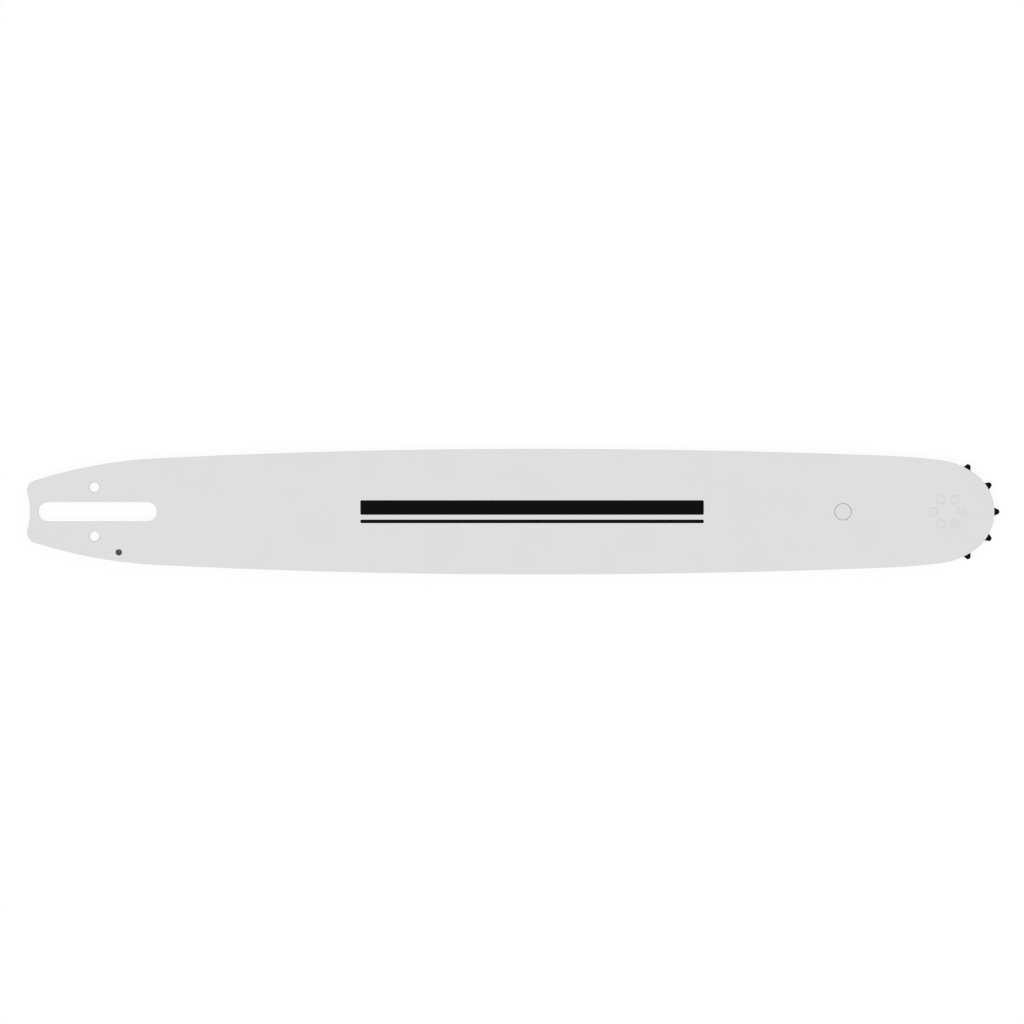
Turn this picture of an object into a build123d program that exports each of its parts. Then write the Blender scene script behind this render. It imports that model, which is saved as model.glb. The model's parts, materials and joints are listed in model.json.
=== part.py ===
from build123d import *
import os
from math import asin, cos, pi, radians, sin, sqrt, tan

# Laminated chainsaw guide bar with a sprocket nose, lying on its back face.
# The origin is the middle of the stud slot on the back face. +X runs along the
# bar to the nose, +Y across it and +Z through the plates to the front face.

# Plates
side_plate_thickness = 1.55
groove_width = 1.6  # gauge of the chain's drive links, and thickness of the core plate
groove_depth = 7.0
edge_break = 0.2

# Tail
slot_length = 73.5
slot_width = 12.0
slot_from_tail = 7.0
tension_hole_diameter = 6.1
tension_hole_mouth = 7.1  # where it is countersunk in the outer faces
tension_hole_spacing = 30.4
tension_hole_shift = -2.0  # along the bar, from the middle of the slot
oil_hole_diameter = 4.0
oil_hole_shift = 13.2  # along the bar, from the middle of the slot
oil_hole_from_edge = 5.7
tail_corner_radius = 6.5
tail_corner_spacing = 26.0  # between the centres of the two corner arcs
tail_notch_depth = 1.8

# Outline of the rails
bar_length = 600.0
bar_width = 77.8
crest_from_tail = 314.7  # where the bar is widest
flank_length = 81.4  # stretch behind the belly that tapers to the tail
flank_fullness = 0.70  # share of the rise from tail to crest at the end of the flank
shoulder_setback = 38.5  # behind the sprocket's centre
shoulder_fullness = 0.57  # share of the rise from nose to crest at the shoulder
neck_setback = 4.3  # behind the sprocket's centre
neck_fullness = 0.29  # share of the rise from nose to crest at the neck
nose_radius = 29.1

# Nose sprocket
tooth_count = 11
tooth_reach = 3.1  # of the tooth tips, past the rim of the nose
tooth_tip_width = 2.2
tooth_tip_chamfer = 0.4
tooth_flank_angle = 24.5  # between a flank and the tooth's own centre line
gullet_radius = 2.4
sprocket_side_clearance = 0.05
pocket_clearance = 1.0  # between the tooth tips and the core plate

# Roller bearing inside the sprocket
race_radius = 12.6
roller_diameter = 4.4
roller_clearance = 0.03  # radial, on the race and in the sprocket
roller_gap = 0.08  # least gap between neighbours

# Rivets through the bearing race
rivet_count = 6
rivet_circle_radius = 8.7
rivet_diameter = 5.6
rivet_fit = 0.03

# Locating plug behind the nose
plug_diameter = 10.5
plug_setback = 64.8  # behind the sprocket's centre
plug_fit = 0.03

# Lightening windows in the core plate
window_count = 2
window_height = 34.0
window_corner_radius = 8.0
window_margin = 16.0  # from the slot and from the plug
window_rib = 12.0

# Places that follow from the sizes
bar_thickness = 2 * side_plate_thickness + groove_width
front_plate_base = side_plate_thickness + groove_width
tail_x = -(slot_length / 2 + slot_from_tail)
sprocket_x = tail_x + bar_length - nose_radius
nose_centre = Vector(sprocket_x, 0)
nose_tip = Vector(sprocket_x + nose_radius, 0)
plug_x = sprocket_x - plug_setback

crest_height = bar_width / 2
tail_height = tail_corner_spacing / 2 + tail_corner_radius
flank_height = tail_height + flank_fullness * (crest_height - tail_height)
shoulder_height = nose_radius + shoulder_fullness * (crest_height - nose_radius)
neck_height = nose_radius + neck_fullness * (crest_height - nose_radius)

crest = Vector(tail_x + crest_from_tail, crest_height)
flank_end = Vector(tail_x + flank_length, flank_height)
shoulder = Vector(sprocket_x - shoulder_setback, shoulder_height)
neck = Vector(sprocket_x - neck_setback, neck_height)
tail_corner = Vector(tail_x + tail_corner_radius, tail_corner_spacing / 2)
tail_notch = Vector(tail_x + tail_notch_depth, 0)

tooth_tip_radius = nose_radius + tooth_reach
sprocket_thickness = groove_width - 2 * sprocket_side_clearance
sprocket_base = side_plate_thickness + sprocket_side_clearance
roller_circle_radius = race_radius + roller_clearance + roller_diameter / 2
sprocket_bore_radius = roller_circle_radius + roller_diameter / 2 + roller_clearance
roller_pitch = roller_diameter + roller_gap
roller_count = int(pi / asin(roller_pitch / (2 * roller_circle_radius)))


def landing_on_circle(start, direction, centre, radius):
    # where an arc that leaves start along direction runs tangent into a circle it encloses
    outward = Vector(-direction.Y, direction.X) * (1 if direction.X > 0 else -1)
    reach = start - centre
    arc_radius = (reach.dot(reach) - radius**2) / (2 * (reach.dot(outward) - radius))
    arc_centre = start - outward * arc_radius
    return centre + (centre - arc_centre).normalized() * radius


# Outline of the bar: tangent arcs from the widest place to the nose and to the tail
with BuildSketch() as outline:
    with BuildLine():
        front_belly = TangentArc(crest, shoulder, tangent=(1, 0))
        shoulder_arc = TangentArc(shoulder, neck, tangent=front_belly % 1)
        nose_start = landing_on_circle(neck, shoulder_arc % 1, nose_centre, nose_radius)
        neck_arc = TangentArc(neck, nose_start, tangent=shoulder_arc % 1)
        TangentArc(nose_start, nose_tip, tangent=neck_arc % 1)

        rear_belly = TangentArc(crest, flank_end, tangent=(-1, 0))
        corner_start = landing_on_circle(
            flank_end, rear_belly % 1, tail_corner, tail_corner_radius
        )
        flank = TangentArc(flank_end, corner_start, tangent=rear_belly % 1)
        notch_and_corner_radius = (tail_corner.Y**2 + tail_notch_depth**2) / (2 * tail_notch_depth)
        notch_centre = tail_notch - Vector(notch_and_corner_radius - tail_corner_radius, 0)
        corner_end = tail_corner + (notch_centre - tail_corner).normalized() * tail_corner_radius
        corner_arc = TangentArc(corner_start, corner_end, tangent=flank % 1)
        TangentArc(corner_end, tail_notch, tangent=corner_arc % 1)
        mirror(about=Plane.XZ)
    make_face()

# The oil hole lies beside the rail, over the groove
flank_centre = flank.arc_center
rail_height_at_oil_hole = flank_centre.Y + sqrt(
    flank.radius**2 - (oil_hole_shift - flank_centre.X) ** 2
)
oil_hole_y = rail_height_at_oil_hole - oil_hole_from_edge

# Front side plate: the outer edges of rail and slot are broken before the holes are cut
with BuildPart() as front_side_plate:
    with BuildSketch(Plane.XY.offset(front_plate_base)):
        add(outline.sketch)
        SlotOverall(slot_length, slot_width, mode=Mode.SUBTRACT)
    extrude(amount=side_plate_thickness)
    chamfer(front_side_plate.faces().sort_by(Axis.Z)[-1].edges(), edge_break)
    with Locations((tension_hole_shift, 0, bar_thickness)):
        with GridLocations(0, tension_hole_spacing, 1, 2):
            CounterSinkHole(
                tension_hole_diameter / 2, tension_hole_mouth / 2, counter_sink_angle=90
            )
    with Locations((oil_hole_shift, -oil_hole_y)):
        Hole(oil_hole_diameter / 2)
    with Locations((plug_x, 0)):
        Hole(plug_diameter / 2 + plug_fit)
    with Locations((sprocket_x, 0)):
        with PolarLocations(rivet_circle_radius, rivet_count):
            Hole(rivet_diameter / 2 + rivet_fit)
front_side_plate.part.label = "front_side_plate"

# Back side plate: the same plate turned over about the bar's length
with BuildPart() as back_side_plate:
    with Locations((0, 0, bar_thickness)):
        add(front_side_plate.part, rotation=(180, 0, 0))
back_side_plate.part.label = "back_side_plate"

# Core plate: set in from the rails by the groove, flush at the tail, cut back behind the sprocket
window_start = slot_length / 2 + window_margin
window_end = plug_x - plug_diameter / 2 - window_margin
window_pitch = (window_end - window_start + window_rib) / window_count
tongue_height = 2 * (tail_height - groove_depth)
tongue_length = groove_depth + tail_notch_depth + tail_corner_radius

with BuildPart() as core_plate:
    with BuildSketch(Plane.XY.offset(side_plate_thickness)):
        add(outline.sketch)
        offset(amount=-groove_depth)
        with Locations((tail_x, 0)):
            Rectangle(tongue_length, tongue_height, align=(Align.MIN, Align.CENTER))
        add(outline.sketch, mode=Mode.INTERSECT)
        with Locations((sprocket_x, 0)):
            Circle(tooth_tip_radius + pocket_clearance, mode=Mode.SUBTRACT)
        SlotOverall(slot_length, slot_width, mode=Mode.SUBTRACT)
        with Locations((tension_hole_shift, 0)):
            with GridLocations(0, tension_hole_spacing, 1, 2):
                Circle(tension_hole_diameter / 2, mode=Mode.SUBTRACT)
        with Locations((plug_x, 0)):
            Circle(plug_diameter / 2 + plug_fit, mode=Mode.SUBTRACT)
        with Locations(((window_start + window_end) / 2, 0)):
            with GridLocations(window_pitch, 0, window_count, 1):
                RectangleRounded(
                    window_pitch - window_rib,
                    window_height,
                    window_corner_radius,
                    mode=Mode.SUBTRACT,
                )
    extrude(amount=groove_width)
core_plate.part.label = "core_plate"

# Nose sprocket: straight flanks that open out of rounded gullets, one tooth along +X
half_pitch = 180 / tooth_count
gap_half_angle = radians(tooth_flank_angle + half_pitch)
tip_half_angle = asin(tooth_tip_width / 2 / tooth_tip_radius)
tip_corner_angle = radians(half_pitch) - tip_half_angle
tip_corner_reach = tooth_tip_radius * cos(tip_corner_angle)
tip_corner_side = tooth_tip_radius * sin(tip_corner_angle)
gap_apex = tip_corner_reach - tip_corner_side / tan(gap_half_angle)
gap_mouth = 2 * tooth_tip_radius - gap_apex
gap_mouth_side = (gap_mouth - gap_apex) * tan(gap_half_angle)

with BuildSketch() as tooth_gap:
    with BuildLine():
        FilletPolyline(
            (gap_mouth, gap_mouth_side),
            (gap_apex, 0),
            (gap_mouth, -gap_mouth_side),
            radius=gullet_radius,
        )
        Line((gap_mouth, -gap_mouth_side), (gap_mouth, gap_mouth_side))
    make_face()

with BuildPart() as nose_sprocket:
    with BuildSketch(Plane((sprocket_x, 0, sprocket_base))) as sprocket_profile:
        Circle(tooth_tip_radius)
        with PolarLocations(0, tooth_count, start_angle=half_pitch):
            add(tooth_gap.sketch, mode=Mode.SUBTRACT)
        tip_corners = sprocket_profile.vertices().sort_by_distance((0, 0, 0))[-2 * tooth_count :]
        chamfer(tip_corners, tooth_tip_chamfer)
        Circle(sprocket_bore_radius, mode=Mode.SUBTRACT)
    extrude(amount=sprocket_thickness)
nose_sprocket.part.label = "nose_sprocket"

# Bearing race: clamped between the side plates by the rivets
with BuildPart() as bearing_race:
    with BuildSketch(Plane((sprocket_x, 0, side_plate_thickness))):
        Circle(race_radius)
        with PolarLocations(rivet_circle_radius, rivet_count):
            Circle(rivet_diameter / 2 + rivet_fit, mode=Mode.SUBTRACT)
    extrude(amount=groove_width)
bearing_race.part.label = "bearing_race"


def make_roller(number):
    angle = 2 * pi * number / roller_count
    place = (
        sprocket_x + roller_circle_radius * cos(angle),
        roller_circle_radius * sin(angle),
        bar_thickness / 2,
    )
    with BuildPart() as roller:
        with Locations(place):
            Cylinder(roller_diameter / 2, sprocket_thickness)
    roller.part.label = f"bearing_roller_{number + 1:02d}"
    return roller


# Rivets: through both side plates and the race, closed flush with both faces
with BuildPart() as nose_rivets:
    with BuildSketch(Plane((sprocket_x, 0, 0))):
        with PolarLocations(rivet_circle_radius, rivet_count):
            Circle(rivet_diameter / 2)
    extrude(amount=bar_thickness)
nose_rivets.part.label = "nose_rivets"

# Locating plug: flush in all three plates
with BuildPart() as locating_plug:
    with BuildSketch(Plane((plug_x, 0, 0))):
        Circle(plug_diameter / 2)
    extrude(amount=bar_thickness)
locating_plug.part.label = "locating_plug"

pieces = [
    front_side_plate,
    back_side_plate,
    core_plate,
    nose_sprocket,
    bearing_race,
    nose_rivets,
    locating_plug,
]
pieces += [make_roller(number) for number in range(roller_count)]

os.makedirs("parts", exist_ok=True)
for piece in pieces:
    export_step(piece.part, f"parts/{piece.part.label}.step")
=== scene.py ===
import json
import math

import bmesh
import bpy
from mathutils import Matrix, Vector


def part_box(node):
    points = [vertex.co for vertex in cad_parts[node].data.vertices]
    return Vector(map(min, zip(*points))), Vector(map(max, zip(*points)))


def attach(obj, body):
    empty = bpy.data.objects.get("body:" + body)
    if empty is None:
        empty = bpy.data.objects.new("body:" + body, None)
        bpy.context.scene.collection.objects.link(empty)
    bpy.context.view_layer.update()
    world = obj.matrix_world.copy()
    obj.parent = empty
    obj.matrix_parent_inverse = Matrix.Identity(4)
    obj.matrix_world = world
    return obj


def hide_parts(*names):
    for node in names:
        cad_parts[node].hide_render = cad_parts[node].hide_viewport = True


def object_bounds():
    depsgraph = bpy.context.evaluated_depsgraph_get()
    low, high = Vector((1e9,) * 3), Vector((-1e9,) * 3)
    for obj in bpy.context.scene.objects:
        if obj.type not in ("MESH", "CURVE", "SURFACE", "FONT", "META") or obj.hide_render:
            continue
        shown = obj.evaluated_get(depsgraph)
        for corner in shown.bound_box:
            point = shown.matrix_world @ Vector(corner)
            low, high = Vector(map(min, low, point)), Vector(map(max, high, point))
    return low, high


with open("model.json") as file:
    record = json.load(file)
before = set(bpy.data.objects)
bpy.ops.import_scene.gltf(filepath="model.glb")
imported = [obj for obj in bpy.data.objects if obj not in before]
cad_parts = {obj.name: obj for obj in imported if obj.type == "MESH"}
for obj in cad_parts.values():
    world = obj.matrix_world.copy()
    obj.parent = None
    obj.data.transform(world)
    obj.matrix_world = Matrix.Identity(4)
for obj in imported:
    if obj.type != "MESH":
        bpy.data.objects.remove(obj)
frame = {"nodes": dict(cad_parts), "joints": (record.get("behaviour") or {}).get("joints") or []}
cadLow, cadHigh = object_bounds()
nodes = frame["nodes"]
joints = {joint["name"]: joint for joint in frame["joints"]}
mm = 0.001  # the scene is in metres

barMiddle = (cadLow.z + cadHigh.z) / 2
barHalf = (cadHigh.z - cadLow.z) / 2
noseCentre = Vector(joints["sprocket_spin"]["pos_m"])
print("frame loaded:", len(nodes), "nodes")


def hexColor(code):  # sRGB hex to the linear colour that the shaders take
    channels = [int(code[i:i + 2], 16) / 255 for i in (1, 3, 5)]
    linear = [c / 12.92 if c <= 0.04045 else ((c + 0.055) / 1.055) ** 2.4 for c in channels]
    return (*linear, 1.0)


def addNode(tree, kind, inputs=None, **settings):  # an input is a value, or a node or socket to link
    node = tree.nodes.new(kind)
    for name, value in settings.items():
        setattr(node, name, value)
    for key, value in (inputs or {}).items():
        inUse = [socket for socket in node.inputs if socket.enabled and socket.name == key]
        target = inUse[0] if inUse else node.inputs[key]
        if isinstance(value, bpy.types.Node):
            value = next(socket for socket in value.outputs if socket.enabled)
        if isinstance(value, bpy.types.NodeSocket):
            tree.links.new(value, target)
        else:
            target.default_value = value
    return node


def newMaterial(name):
    material = bpy.data.materials.new(name)
    material.use_nodes = True
    material.node_tree.nodes.clear()
    return material, material.node_tree


def newPiece(name, mesh, body):  # a finished mesh, in place, that moves with a body
    piece = bpy.data.objects.new(name, mesh)
    bpy.context.scene.collection.objects.link(piece)
    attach(piece, body)
    return piece


# Camera: square above the front face, tail to the left
camera = {
    "lens": 600.0,  # long, so that the edges of the bar are seen from straight above
    "sensor": 36.0,
    "viewWidth": 635.1 * mm,  # what the picture takes in at the front face
    "centre": (257.05 * mm, -0.18 * mm),
}
cameraHeight = camera["viewWidth"] * camera["lens"] / camera["sensor"]
cameraData = bpy.data.cameras.new("camera")
cameraData.lens = camera["lens"]
cameraData.sensor_width = camera["sensor"]
cameraObject = bpy.data.objects.new("camera", cameraData)
cameraObject.location = (*camera["centre"], cadHigh.z + cameraHeight)
bpy.context.scene.collection.objects.link(cameraObject)
bpy.context.scene.camera = cameraObject
print("camera at", round(cameraHeight, 3), "m above the bar")

# Satin lacquer baked on rolled steel: an even pale grey, faint peel, a soft wide gloss.
# Only the outward faces and their broken edges are coated. Rails and cut edges are ground
# bright along the bar, and inside the groove the plates are dull from rolling, with their colour
# darkened further as painted shade.
lacquer = {
    "color": "#DFDFDF",
    "colorLow": "#DCDCDC",
    "rivetColor": "#DCDCDC",
    "rivetColorLow": "#D9D9D9",
    # where the coat lies: a face's height from the bar's middle times the z of its normal,
    # as a share of half the bar's thickness
    "coatEnd": 0.5,  # coated above this share
    "innerStart": -0.2,  # inside the groove below this one
    "cloudSize": 28 * mm,  # slow change of shade over the sprayed face
    "cloudDetail": 3.0,  # layers of finer noise
    "peelSize": 1.1 * mm,  # orange peel, a little coarser than real so that it shows
    "peelDetail": 1.0,
    "peelHeight": 0.004 * mm,
    "roughness": (0.38, 0.46),
    "edgeColor": "#B8BABC",
    "edgeColorLow": "#9A9C9F",
    "lineWidth": 0.12 * mm,  # grinding lines, drawn coarse so that they show
    "lineLength": 12 * mm,
    "lineDetail": 4.0,
    "lineHeight": 0.006 * mm,
    "edgeRoughness": 0.3,
    # bare steel inside the groove, made darker as painted shade for the groove and the oil hole
    "innerColorWithShade": "#5C5E60",
    "innerRoughness": 0.5,
}
# the heights of all patterns are in metres, so a bump takes them as they are
fullBump = {"Strength": 1.0, "Distance": 1.0}


def findCoat(tree, place):  # two masks: the coated faces, and the faces inside the groove
    spot = addNode(tree, "ShaderNodeSeparateXYZ", {0: place["Object"]}).outputs
    facing = addNode(tree, "ShaderNodeSeparateXYZ", {0: place["Normal"]}).outputs
    fromMiddle = addNode(tree, "ShaderNodeMath", {0: spot["Z"], 1: barMiddle}, operation="SUBTRACT")
    outward = addNode(tree, "ShaderNodeMath", {0: fromMiddle, 1: facing["Z"]}, operation="MULTIPLY")
    coatEnd = lacquer["coatEnd"] * barHalf
    coated = addNode(tree, "ShaderNodeMath", {0: outward, 1: coatEnd}, operation="GREATER_THAN")
    innerStart = lacquer["innerStart"] * barHalf
    inside = addNode(tree, "ShaderNodeMath", {0: outward, 1: innerStart}, operation="LESS_THAN")
    return coated, inside


def drawPatterns(tree, spot):  # shade of the sprayed face, orange peel, and lines ground along the bar
    cloud = addNode(
        tree, "ShaderNodeTexNoise",
        {"Vector": spot, "Scale": 1 / lacquer["cloudSize"], "Detail": lacquer["cloudDetail"]},
    )
    peel = addNode(
        tree, "ShaderNodeTexNoise",
        {"Vector": spot, "Scale": 1 / lacquer["peelSize"], "Detail": lacquer["peelDetail"]},
    )
    lineScale = (1 / lacquer["lineLength"], 1 / lacquer["lineLength"], 1 / lacquer["lineWidth"])
    stretch = addNode(tree, "ShaderNodeMapping", {"Vector": spot, "Scale": lineScale})
    lines = addNode(
        tree, "ShaderNodeTexNoise", {"Vector": stretch, "Scale": 1.0, "Detail": lacquer["lineDetail"]}
    )
    return cloud, peel, lines


def makeLacquer(name, color, colorLow):
    material, tree = newMaterial(name)
    place = addNode(tree, "ShaderNodeTexCoord").outputs
    coated, inside = findCoat(tree, place)
    cloud, peel, lines = drawPatterns(tree, place["Object"])

    coatColor = addNode(
        tree, "ShaderNodeMix",
        {"Factor": cloud, "A": hexColor(colorLow), "B": hexColor(color)}, data_type="RGBA",
    )
    edgeColor = addNode(
        tree, "ShaderNodeMix",
        {"Factor": lines, "A": hexColor(lacquer["edgeColorLow"]), "B": hexColor(lacquer["edgeColor"])},
        data_type="RGBA",
    )
    # inside the groove the bare steel takes the darker colour: painted shade of the groove and oil
    # hole
    bareColor = addNode(
        tree, "ShaderNodeMix",
        {"Factor": inside, "A": edgeColor, "B": hexColor(lacquer["innerColorWithShade"])}, data_type="RGBA",
    )
    shown = addNode(
        tree, "ShaderNodeMix", {"Factor": coated, "A": bareColor, "B": coatColor}, data_type="RGBA"
    )

    roughLow, roughHigh = lacquer["roughness"]
    coatRough = addNode(
        tree, "ShaderNodeMapRange", {"Value": cloud, "To Min": roughLow, "To Max": roughHigh}
    )
    bareRough = addNode(
        tree, "ShaderNodeMix",
        {"Factor": inside, "A": lacquer["edgeRoughness"], "B": lacquer["innerRoughness"]},
    )
    rough = addNode(tree, "ShaderNodeMix", {"Factor": coated, "A": bareRough, "B": coatRough})
    metal = addNode(tree, "ShaderNodeMath", {0: 1.0, 1: coated}, operation="SUBTRACT")

    lineHeight = addNode(
        tree, "ShaderNodeMath", {0: lines, 1: lacquer["lineHeight"]}, operation="MULTIPLY"
    )
    peelHeight = addNode(
        tree, "ShaderNodeMath", {0: peel, 1: lacquer["peelHeight"]}, operation="MULTIPLY"
    )
    height = addNode(tree, "ShaderNodeMix", {"Factor": coated, "A": lineHeight, "B": peelHeight})
    bump = addNode(tree, "ShaderNodeBump", {"Height": height, **fullBump})
    shader = addNode(
        tree, "ShaderNodeBsdfPrincipled",
        {"Base Color": shown, "Metallic": metal, "Roughness": rough, "Normal": bump},
    )
    addNode(tree, "ShaderNodeOutputMaterial", {"Surface": shader})
    return material


# Cold rolled strip: dull grey with faint rolling streaks along the bar
strip = {
    "color": "#77797B",
    "colorLow": "#5E6062",
    "grainWidth": 0.5 * mm,
    "grainLength": 40 * mm,
    "grainHeight": 0.004 * mm,
    "roughness": (0.4, 0.55),
    "metallic": 1.0,
    "specular": 0.5,
}
# Black oxide on hardened steel: deep black, matt, hardly any gloss
oxide = {
    "color": "#040405",
    "colorLow": "#020202",
    "grainWidth": 0.4 * mm,  # the blotches left by the bath
    "grainLength": 0.4 * mm,
    "grainHeight": 0.003 * mm,
    "roughness": (0.45, 0.6),
    "metallic": 0.0,
    "specular": 0.06,
}
# Ground bearing steel: bright, with fine grinding marks
bearing = {
    "color": "#CFD0D2",
    "colorLow": "#B4B6B9",
    "grainWidth": 0.1 * mm,
    "grainLength": 1.5 * mm,
    "grainHeight": 0.001 * mm,
    "roughness": (0.18, 0.3),
    "metallic": 1.0,
    "specular": 0.5,
}
# Screen ink on lacquer: near black, half matt, with the faint dots of the screen
ink = {
    "color": "#0C0D0A",
    "colorLow": "#070806",
    "grainWidth": 0.35 * mm,  # the mesh of the screen, drawn coarse so that it shows
    "grainLength": 0.35 * mm,
    "grainHeight": 0.002 * mm,
    "roughness": (0.42, 0.55),
    "metallic": 0.0,
    "specular": 0.03,
}
grainDetail = 4.0  # layers of finer noise, for all four


def makeFinish(name, look):  # a grain that shows in colour, gloss and relief
    material, tree = newMaterial(name)
    place = addNode(tree, "ShaderNodeTexCoord").outputs["Object"]
    grainScale = (1 / look["grainLength"], 1 / look["grainWidth"], 1 / look["grainWidth"])
    stretch = addNode(tree, "ShaderNodeMapping", {"Vector": place, "Scale": grainScale})
    grain = addNode(
        tree, "ShaderNodeTexNoise", {"Vector": stretch, "Scale": 1.0, "Detail": grainDetail}
    )
    color = addNode(
        tree, "ShaderNodeMix",
        {"Factor": grain, "A": hexColor(look["colorLow"]), "B": hexColor(look["color"])},
        data_type="RGBA",
    )
    roughLow, roughHigh = look["roughness"]
    rough = addNode(
        tree, "ShaderNodeMapRange", {"Value": grain, "To Min": roughLow, "To Max": roughHigh}
    )
    height = addNode(tree, "ShaderNodeMath", {0: grain, 1: look["grainHeight"]}, operation="MULTIPLY")
    bump = addNode(tree, "ShaderNodeBump", {"Height": height, **fullBump})
    shader = addNode(
        tree, "ShaderNodeBsdfPrincipled",
        {
            "Base Color": color,
            "Metallic": look["metallic"],
            "Specular IOR Level": look["specular"],
            "Roughness": rough,
            "Normal": bump,
        },
    )
    addNode(tree, "ShaderNodeOutputMaterial", {"Surface": shader})
    return material


satinLacquer = makeLacquer("satinLacquerOnSteel", lacquer["color"], lacquer["colorLow"])
rivetLacquer = makeLacquer("satinLacquerOnRivets", lacquer["rivetColor"], lacquer["rivetColorLow"])
rolledSteel = makeFinish("rolledStripSteel", strip)
blackOxide = makeFinish("blackOxideSteel", oxide)
bearingSteel = makeFinish("groundBearingSteel", bearing)
screenInk = makeFinish("screenInk", ink)

finishOf = {
    "front_side_plate": satinLacquer,
    "back_side_plate": satinLacquer,
    "locating_plug": satinLacquer,
    "nose_rivets": rivetLacquer,
    "core_plate": rolledSteel,
    "nose_sprocket": blackOxide,
}
for name, node in nodes.items():
    node.data.materials.clear()
    node.data.materials.append(finishOf.get(name, bearingSteel))  # the rest are race and rollers
print("finishes on", len(nodes), "nodes")

# Side plates: the frame's own, with the long flats of their outline cut into shorter ones that
# follow the arcs they stand for
plates = {
    "pieces": {"front_side_plate": "frontPlate", "back_side_plate": "backPlate"},
    "flatDepth": 0.02 * mm,  # a flat that lies deeper than this below its arc is cut
    "pieceTurn": math.radians(1.5),  # the most that the outline turns along each new flat
    "alike": 0.01,  # the flats of one arc differ in length by a smaller share than this
    "weld": 0.001 * mm,  # corners that lie closer than this are one
    "wallLean": 0.9,  # walls and broken edges have a smaller z in their normals
    "flush": math.radians(0.05),  # the triangles of one flat lean apart by less
    "sharp": math.radians(30),  # edges that bend further are shaded crisp
}


def isWall(face):
    return abs(face.normal.z) < plates["wallLean"]


def isRim(edge):  # runs level along a wall
    first, last = edge.verts
    level = abs(first.co.z - last.co.z) < plates["weld"]
    return level and any(isWall(face) for face in edge.link_faces)


def weldPlate(mesh):  # one joined shell, with each flat of a wall as one face
    bm = bmesh.new()
    corners = [bm.verts.new(vertex.co) for vertex in mesh.vertices]
    for face in mesh.polygons:
        bm.faces.new([corners[index] for index in face.vertices])
    bmesh.ops.remove_doubles(bm, verts=bm.verts, dist=plates["weld"])
    bm.normal_update()
    walled = [edge for edge in bm.edges if all(isWall(face) for face in edge.link_faces)]
    diagonals = [edge for edge in walled if edge.calc_face_angle(math.pi) < plates["flush"]]
    bmesh.ops.dissolve_edges(bm, edges=diagonals)
    return bm


def findArc(edge, rims):  # the turn of the arc that a flat stands for, and the way that it bulges
    length = edge.calc_length()
    for corner in edge.verts:
        start = corner.co - edge.other_vert(corner).co
        for other in corner.link_edges:
            alike = abs(other.calc_length() - length) < plates["alike"] * length
            if other in rims and other is not edge and alike:  # the next flat of the same arc
                onward = other.other_vert(corner).co - corner.co
                aside = onward - onward.project(start)
                return start.angle(onward), -aside.normalized()
    return 0.0, Vector()


def cutFlat(edge, turn, bulge):  # gives the new corners, which lie on the arc
    first, last = edge.verts
    radius = edge.calc_length() / 2 / math.sin(turn / 2)
    along = (last.co - first.co).normalized()
    centre = (first.co + last.co) / 2 - bulge * radius * math.cos(turn / 2)
    pieces = math.ceil(turn / plates["pieceTurn"])
    corners = []
    for step in range(1, pieces):
        angle = turn * (step / pieces - 0.5)
        edge, corner = bmesh.utils.edge_split(edge, last, 0.5)
        corner.co = centre + radius * (along * math.sin(angle) + bulge * math.cos(angle))
        corners.append(corner)
    return corners


def joinAcross(corners, facing):  # splits a wall between the corners on its two rims
    for corner in corners:
        nearest = min(facing, key=lambda other: (other.co.xy - corner.co.xy).length)
        for wall in set(corner.link_faces) & set(nearest.link_faces):
            bmesh.utils.face_split(wall, corner, nearest)


def roundOutline(bm):
    cuts = {edge: [] for edge in bm.edges if isRim(edge)}  # the new corners on each rim edge
    walls = [[edge for edge in face.edges if edge in cuts] for face in bm.faces if isWall(face)]
    arcs = {edge: findArc(edge, cuts) for edge in cuts}
    for edge, (turn, bulge) in arcs.items():
        depth = edge.calc_length() / 2 * math.tan(turn / 4)
        if depth > plates["flatDepth"]:
            cuts[edge] = cutFlat(edge, turn, bulge)
    for edges in walls:
        cornersOfRims = [cuts[edge] for edge in edges if cuts[edge]]
        if len(cornersOfRims) == 2:
            joinAcross(*cornersOfRims)


def makePlate(nodeName):
    bm = weldPlate(nodes[nodeName].data)
    roundOutline(bm)
    mesh = bpy.data.meshes.new(plates["pieces"][nodeName])
    bm.to_mesh(mesh)
    bm.free()
    mesh.shade_smooth()
    mesh.set_sharp_from_angle(angle=plates["sharp"])
    mesh.materials.append(finishOf[nodeName])
    return mesh


for nodeName, pieceName in plates["pieces"].items():
    platePiece = newPiece(pieceName, makePlate(nodeName), "bar")
    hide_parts(nodeName)
    print(pieceName, "has", len(platePiece.data.polygons), "faces")

# Flush pins, as a ring of rivets in the nose and as the plug behind it: each end meets the plate
# in a round rim, so that a fine ring shows there, and the rivets are slightly dished
rivets = {
    "Count": 6,
    "Circle Radius": 8.7 * mm,
    "Centre": (noseCentre.x, noseCentre.y, barMiddle),
    "Radius": 2.81 * mm,  # fills its hole but for a hair
    "Length": 2 * barHalf,
    "Rim Width": 0.09 * mm,
    "Rim Depth": 0.15 * mm,
    "Dish": 0.05 * mm,
    "Sides": 64,
    "Rings": 12,  # rings of faces over each end, closer together towards the rim
    "Finish": finishOf["nose_rivets"],
}
plugLow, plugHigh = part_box("locating_plug")
plug = {
    "Count": 1,
    "Circle Radius": 0.0,
    "Centre": ((plugLow.x + plugHigh.x) / 2, (plugLow.y + plugHigh.y) / 2, barMiddle),
    "Radius": (plugHigh.x - plugLow.x) / 2,
    "Length": 2 * barHalf,
    "Rim Width": 0.4 * mm,
    "Rim Depth": 1.0 * mm,
    "Dish": 0.0,
    "Sides": 96,
    "Rings": 16,
    "Finish": finishOf["locating_plug"],
}
socketKinds = {int: "NodeSocketInt", float: "NodeSocketFloat", tuple: "NodeSocketVector"}


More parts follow.
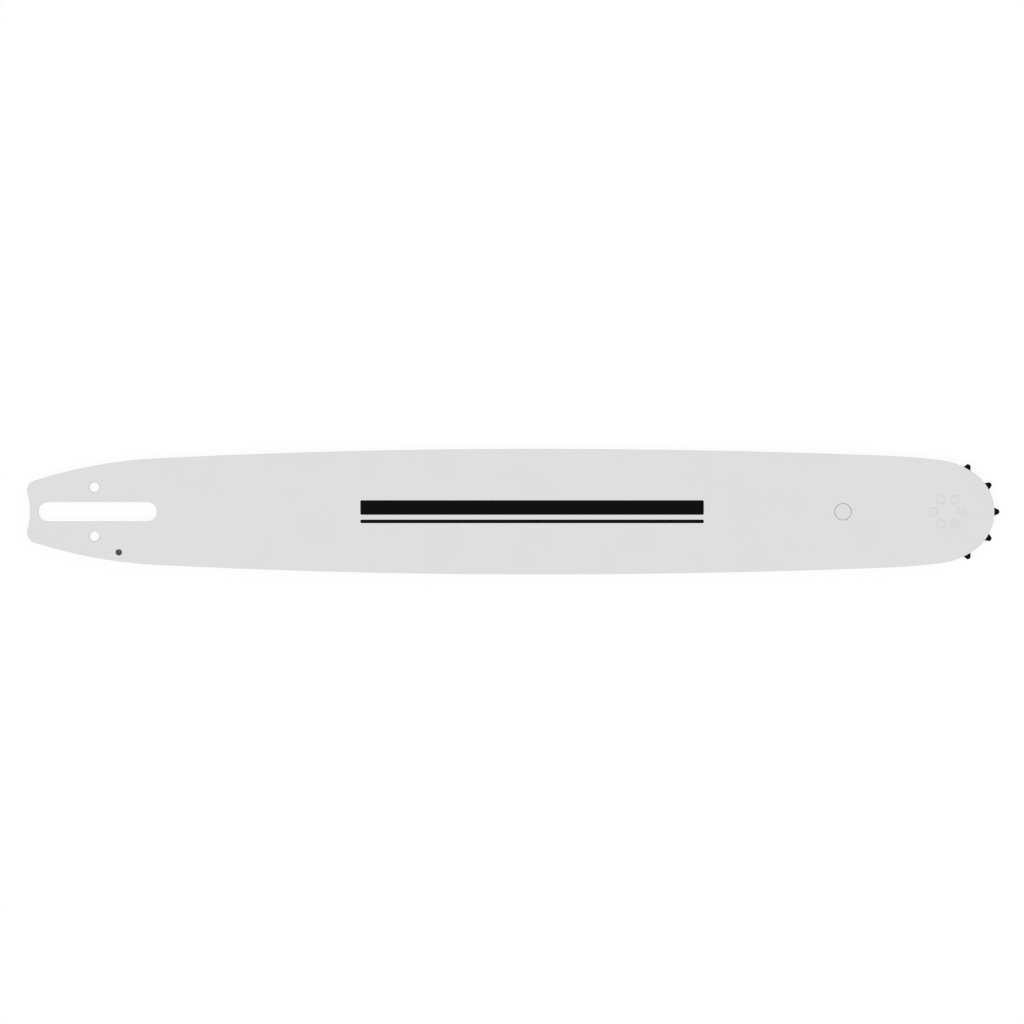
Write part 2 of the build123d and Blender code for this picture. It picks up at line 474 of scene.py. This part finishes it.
def shapePin(tree, given):  # one pin, upright about the origin
    # a round blank of radius 1, whose ends are rings of faces
    blank = addNode(
        tree, "GeometryNodeMeshCylinder",
        {
            "Vertices": given["Sides"],
            "Fill Segments": given["Rings"],
            "Radius": 1.0,
            "Depth": given["Length"],
        },
    )
    spot = addNode(tree, "GeometryNodeInputPosition")
    level = addNode(tree, "ShaderNodeSeparateXYZ", {0: spot}).outputs["Z"]
    end = addNode(tree, "ShaderNodeMath", {0: level}, operation="SIGN")
    across = addNode(tree, "ShaderNodeVectorMath", {0: spot, 1: (1, 1, 0)}, operation="MULTIPLY")
    heading = addNode(tree, "ShaderNodeVectorMath", {0: across}, operation="NORMALIZE")
    share = addNode(tree, "ShaderNodeVectorMath", {0: across}, operation="LENGTH")

    # how far out each ring lies
    quarter = addNode(tree, "ShaderNodeMath", {0: share, 1: math.pi / 2}, operation="MULTIPLY")
    sine = addNode(tree, "ShaderNodeMath", {0: quarter}, operation="SINE")
    reach = addNode(tree, "ShaderNodeMath", {0: sine, 1: given["Radius"]}, operation="MULTIPLY")

    # how far the round rim and the dish lower it
    rimStart = addNode(
        tree, "ShaderNodeMath", {0: given["Radius"], 1: given["Rim Width"]}, operation="SUBTRACT"
    )
    overRim = addNode(
        tree, "ShaderNodeMapRange",
        {"Value": reach, "From Min": rimStart, "From Max": given["Radius"]},
    )
    tilt = addNode(tree, "ShaderNodeMath", {0: overRim}, operation="ARCSINE")
    upright = addNode(tree, "ShaderNodeMath", {0: tilt}, operation="COSINE")
    fall = addNode(tree, "ShaderNodeMath", {0: 1.0, 1: upright}, operation="SUBTRACT")
    rimDrop = addNode(tree, "ShaderNodeMath", {0: fall, 1: given["Rim Depth"]}, operation="MULTIPLY")
    dishDrop = addNode(
        tree, "ShaderNodeMapRange",
        {"Value": share, "To Min": given["Dish"], "To Max": 0.0}, interpolation_type="SMOOTHSTEP",
    )
    drop = addNode(tree, "ShaderNodeMath", {0: rimDrop, 1: dishDrop}, operation="ADD")
    inward = addNode(tree, "ShaderNodeMath", {0: drop, 1: end}, operation="MULTIPLY")
    lowered = addNode(tree, "ShaderNodeMath", {0: level, 1: inward}, operation="SUBTRACT")

    spread = addNode(tree, "ShaderNodeVectorMath", {0: heading, "Scale": reach}, operation="SCALE")
    lift = addNode(tree, "ShaderNodeCombineXYZ", {"Z": lowered})
    target = addNode(tree, "ShaderNodeVectorMath", {0: spread, 1: lift}, operation="ADD")
    return addNode(tree, "GeometryNodeSetPosition", {"Geometry": blank, "Position": target})


def placePins(tree, given):  # points on the circle, the first along +X
    number = addNode(tree, "GeometryNodeInputIndex")
    turns = addNode(tree, "ShaderNodeMath", {0: number, 1: given["Count"]}, operation="DIVIDE")
    angle = addNode(tree, "ShaderNodeMath", {0: turns, 1: 2 * math.pi}, operation="MULTIPLY")
    first = addNode(tree, "ShaderNodeCombineXYZ", {"X": given["Circle Radius"]})
    turned = addNode(
        tree, "ShaderNodeVectorRotate", {"Vector": first, "Angle": angle}, rotation_type="Z_AXIS"
    )
    inPlace = addNode(
        tree, "ShaderNodeVectorMath", {0: turned, 1: given["Centre"]}, operation="ADD"
    )
    return addNode(tree, "GeometryNodePoints", {"Count": given["Count"], "Position": inPlace})


def makePinTree():
    tree = bpy.data.node_groups.new("flushPins", "GeometryNodeTree")
    for name, value in rivets.items():  # one input for each line of the dictionaries
        kind = socketKinds.get(type(value), "NodeSocketMaterial")
        tree.interface.new_socket(name, in_out="INPUT", socket_type=kind)
    tree.interface.new_socket("Geometry", in_out="OUTPUT", socket_type="NodeSocketGeometry")
    given = addNode(tree, "NodeGroupInput").outputs

    pin = shapePin(tree, given)
    places = placePins(tree, given)
    placed = addNode(tree, "GeometryNodeInstanceOnPoints", {"Points": places, "Instance": pin})
    real = addNode(tree, "GeometryNodeRealizeInstances", {"Geometry": placed})
    smooth = addNode(tree, "GeometryNodeSetShadeSmooth", {"Geometry": real})
    coated = addNode(
        tree, "GeometryNodeSetMaterial", {"Geometry": smooth, "Material": given["Finish"]}
    )
    addNode(tree, "NodeGroupOutput", {"Geometry": coated})
    return tree


def bakeTree(tree, values):  # runs a node tree once and gives its result as a plain mesh
    holder = bpy.data.objects.new("holder", bpy.data.meshes.new("holder"))
    bpy.context.scene.collection.objects.link(holder)
    modifier = holder.modifiers.new("shape", "NODES")
    modifier.node_group = tree
    for socket in tree.interface.items_tree:
        if socket.in_out == "INPUT":
            modifier[socket.identifier] = values[socket.name]
    solved = holder.evaluated_get(bpy.context.evaluated_depsgraph_get())
    mesh = bpy.data.meshes.new_from_object(solved)
    bpy.data.objects.remove(holder)
    return mesh


pinTree = makePinTree()
rivetPiece = newPiece("flushRivets", bakeTree(pinTree, rivets), "bar")
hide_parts("nose_rivets")
plugPiece = newPiece("flushPlug", bakeTree(pinTree, plug), "bar")
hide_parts("locating_plug")
print("pins:", len(rivetPiece.data.polygons) + len(plugPiece.data.polygons), "faces")

# Two plain stripes of ink along the front face, a film that lies on the lacquer
stripes = {
    "start": 163 * mm,
    "end": 376 * mm,
    "rows": [(-6.0 * mm, 2.2 * mm), (2.6 * mm, 9.0 * mm)],  # middle and width of each
    "cornerRadius": 0.8 * mm,
    "cornerSteps": 8,
    "film": 0.03 * mm,
    "sink": 0.01 * mm,  # how far the film's underside lies below the lacquer
}


def roundedRow(middle, width):  # corner by corner, anticlockwise from the lower right
    radius = stripes["cornerRadius"]
    corners = [
        (stripes["end"] - radius, middle - width / 2 + radius),
        (stripes["end"] - radius, middle + width / 2 - radius),
        (stripes["start"] + radius, middle + width / 2 - radius),
        (stripes["start"] + radius, middle - width / 2 + radius),
    ]
    points = []
    for corner, (x, y) in enumerate(corners):
        for step in range(stripes["cornerSteps"] + 1):
            angle = (corner - 1 + step / stripes["cornerSteps"]) * math.pi / 2
            points.append((x + radius * math.cos(angle), y + radius * math.sin(angle)))
    return points


def makeStripes():
    bm = bmesh.new()
    underside = cadHigh.z - stripes["sink"]
    for middle, width in stripes["rows"]:
        loop = [bm.verts.new((x, y, underside)) for x, y in roundedRow(middle, width)]
        face = bm.faces.new(loop)
        raised = bmesh.ops.extrude_face_region(bm, geom=[face], use_keep_orig=True)["geom"]
        lifted = [part for part in raised if isinstance(part, bmesh.types.BMVert)]
        bmesh.ops.translate(bm, verts=lifted, vec=(0, 0, stripes["sink"] + stripes["film"]))
    bmesh.ops.recalc_face_normals(bm, faces=bm.faces)
    mesh = bpy.data.meshes.new("inkStripes")
    bm.to_mesh(mesh)
    bm.free()
    mesh.materials.append(screenInk)
    return mesh


newPiece("inkStripes", makeStripes(), "bar")
print("stripes:", len(stripes["rows"]))

# White room and floor: the camera and reflections see plain white, other rays an even light
# from all round, and the floor keeps a faint shadow
room = {
    "color": "#FFFFFF",
    "ambient": 0.55,  # strength of the even light
    "floorSize": 14.0,  # metres across
    "floorDrop": 0.2 * mm,  # just under the bar, so that the two never share a plane
    "shadowShare": 0.07,  # how much of the floor's white can fall into shadow
}
white = hexColor(room["color"])
# Soft suns: direction towards the light, strength, and angle across in degrees
suns = {
    "key": {"from": (-0.45, -0.6, 1.0), "strength": 1.2, "angle": 40.0},
    "fill": {"from": (0.6, 0.5, 0.8), "strength": 0.55, "angle": 60.0},
}


def seenDirectly(tree):  # 1 for camera, glossy and transmission rays
    path = addNode(tree, "ShaderNodeLightPath").outputs
    mirrored = addNode(
        tree, "ShaderNodeMath",
        {0: path["Is Glossy Ray"], 1: path["Is Transmission Ray"]}, operation="MAXIMUM",
    )
    return addNode(
        tree, "ShaderNodeMath", {0: path["Is Camera Ray"], 1: mirrored}, operation="MAXIMUM"
    )


def makeRoom():
    world = bpy.data.worlds.new("whiteRoom")
    world.use_nodes = True
    tree = world.node_tree
    tree.nodes.clear()
    ambient = addNode(tree, "ShaderNodeBackground", {"Color": white, "Strength": room["ambient"]})
    plain = addNode(tree, "ShaderNodeBackground", {"Color": white, "Strength": 1.0})
    mix = addNode(tree, "ShaderNodeMixShader", {0: seenDirectly(tree), 1: ambient, 2: plain})
    addNode(tree, "ShaderNodeOutputWorld", {"Surface": mix})
    bpy.context.scene.world = world


def makeFloor():
    material, tree = newMaterial("whiteFloor")
    share = room["shadowShare"]
    glow = addNode(tree, "ShaderNodeEmission", {"Color": white, "Strength": 1 - share})
    shaded = addNode(tree, "ShaderNodeBsdfDiffuse", {"Color": (share, share, share, 1)})
    shown = addNode(tree, "ShaderNodeAddShader", {0: glow, 1: shaded})
    clear = addNode(tree, "ShaderNodeBsdfTransparent")  # the even light comes through from below
    mix = addNode(tree, "ShaderNodeMixShader", {0: seenDirectly(tree), 1: clear, 2: shown})
    fromBelow = addNode(tree, "ShaderNodeNewGeometry").outputs["Backfacing"]
    oneSided = addNode(tree, "ShaderNodeMixShader", {0: fromBelow, 1: mix, 2: clear})
    addNode(tree, "ShaderNodeOutputMaterial", {"Surface": oneSided})

    half = room["floorSize"] / 2
    level = cadLow.z - room["floorDrop"]
    mesh = bpy.data.meshes.new("floor")
    corners = [(x, y, level) for x, y in ((-half, -half), (half, -half), (half, half), (-half, half))]
    mesh.from_pydata(corners, [], [(0, 1, 2, 3)])
    mesh.materials.append(material)
    floor = bpy.data.objects.new("floor", mesh)
    bpy.context.scene.collection.objects.link(floor)


def makeSuns():
    for name, sun in suns.items():
        data = bpy.data.lights.new(name, "SUN")
        data.energy = sun["strength"]
        data.angle = math.radians(sun["angle"])
        lamp = bpy.data.objects.new(name, data)
        lamp.rotation_mode = "QUATERNION"
        lamp.rotation_quaternion = Vector(sun["from"]).to_track_quat("Z", "Y")
        bpy.context.scene.collection.objects.link(lamp)


makeRoom()
makeFloor()
makeSuns()
bpy.context.scene.view_settings.view_transform = "Standard"
print("room, floor and", len(suns), "suns")
